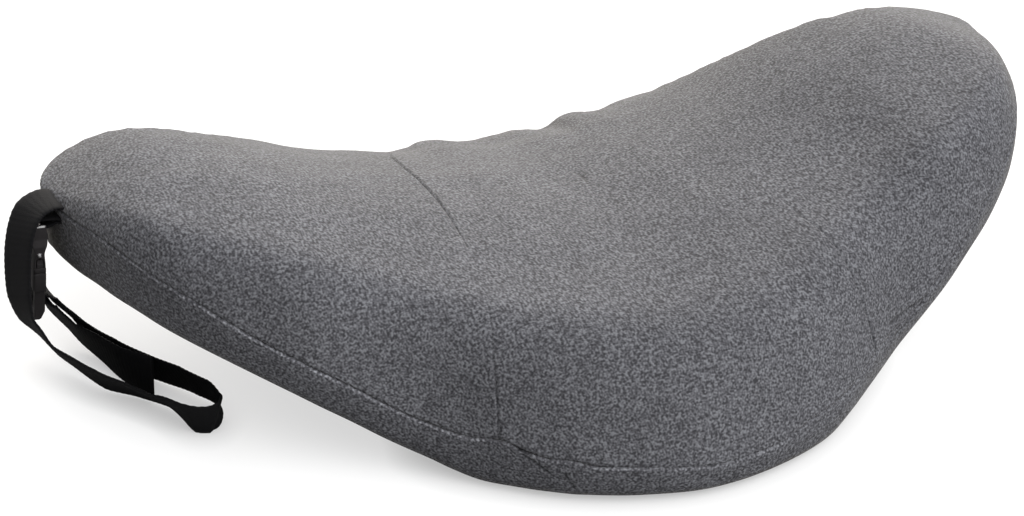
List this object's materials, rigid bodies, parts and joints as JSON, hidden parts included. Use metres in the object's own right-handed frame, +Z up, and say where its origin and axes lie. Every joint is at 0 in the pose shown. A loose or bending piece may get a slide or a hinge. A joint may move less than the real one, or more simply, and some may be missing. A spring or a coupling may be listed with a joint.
{
  "type": "lumbar pillow",
  "caption": "Crescent lumbar pillow with raised wings and a knit cover, lying on its back, with a webbing strap and side-release buckle at one tip.",
  "frame": {"origin": "on the surface the pillow lies on, below its middle, where the flat of its underside rests", "axes": "+X along the pillow to the wing without a strap, +Y to the concave edge, +Z up out of the crowned face"},
  "size_m": [0.5356, 0.3277, 0.1035],
  "materials": {
    "knit_cover": "matte melange knit",
    "webbing": "matte woven",
    "buckle_plastic": "fine moulded grain"
  },
  "bodies": {
    "root": {"pillow": "knit_cover", "strap": "webbing", "tab": "webbing", "buckle_socket": "buckle_plastic", "buckle_prong": "buckle_plastic"}
  },
  "joints": []
}
